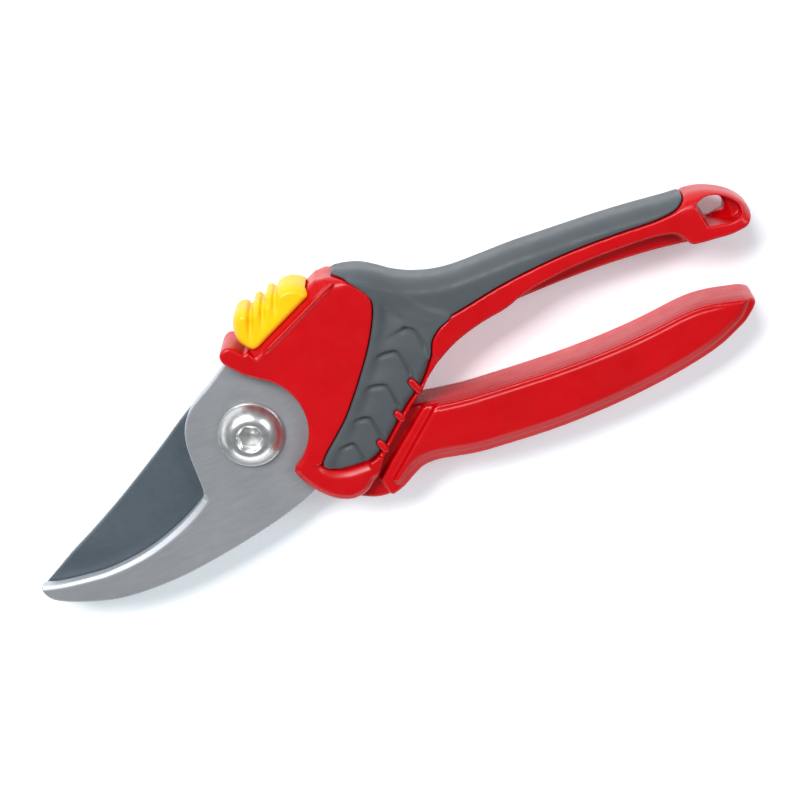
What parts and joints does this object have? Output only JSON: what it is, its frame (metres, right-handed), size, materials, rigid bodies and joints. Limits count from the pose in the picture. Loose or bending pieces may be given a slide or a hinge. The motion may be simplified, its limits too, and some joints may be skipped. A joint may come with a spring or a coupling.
{
  "type": "pruning shears",
  "caption": "Bypass pruning shears with a hooked counter-blade, moulded handles with a soft grip, a sliding thumb lock and a hanging hole, shown closed and locked.",
  "frame": {"origin": "on the pivot axis, at the threaded end of the pivot bolt, in the plane that the shears rest on", "axes": "+X towards the handle ends, +Y towards the upper handle, +Z along the pivot bolt towards its head"},
  "size_m": [0.2113, 0.0654, 0.018],
  "materials": {
    "red_plastic": "glass-filled nylon, moulded glossy",
    "grey_grip": "soft thermoplastic, fine matt grain",
    "yellow_plastic": "moulded glossy",
    "plain_steel": "blasted and ground, satin",
    "coated_steel": "dark non-stick coating, satin",
    "polished_steel": "turned and polished",
    "zinc_steel": "zinc plated",
    "spring_steel": "drawn wire and strip",
    "black_rubber": "matt"
  },
  "bodies": {
    "upper_handle": {"upper_handle": "red_plastic", "upper_grip": "grey_grip", "counter_blade": "plain_steel", "tang_screw_1": "zinc_steel", "tang_screw_2": "zinc_steel", "pivot_bolt": "polished_steel", "pivot_bush": "zinc_steel", "pivot_washer": "zinc_steel", "pivot_lock_washer": "zinc_steel", "pivot_nut": "zinc_steel", "return_spring": "spring_steel", "lock_detent_spring": "spring_steel"},
    "lock_slider": {"lock_slider": "yellow_plastic", "lock_latch": "zinc_steel", "lock_rivet": "zinc_steel"},
    "lower_handle": {"lower_handle": "red_plastic", "cutting_blade": "coated_steel", "blade_screw_1": "zinc_steel", "blade_screw_2": "zinc_steel", "closing_bumper": "black_rubber"}
  },
  "joints": [
    {"name": "handle_pivot", "type": "hinge", "parent": "upper_handle", "child": "lower_handle", "pos_m": [0, 0, 0.0075], "axis": [0, 0, -1], "range_deg": [0, 30]},
    {"name": "lock_slide", "type": "slide", "parent": "upper_handle", "child": "lock_slider", "axis": [0.9304, 0.3665, 0], "range_m": [0, 0.006]}
  ]
}
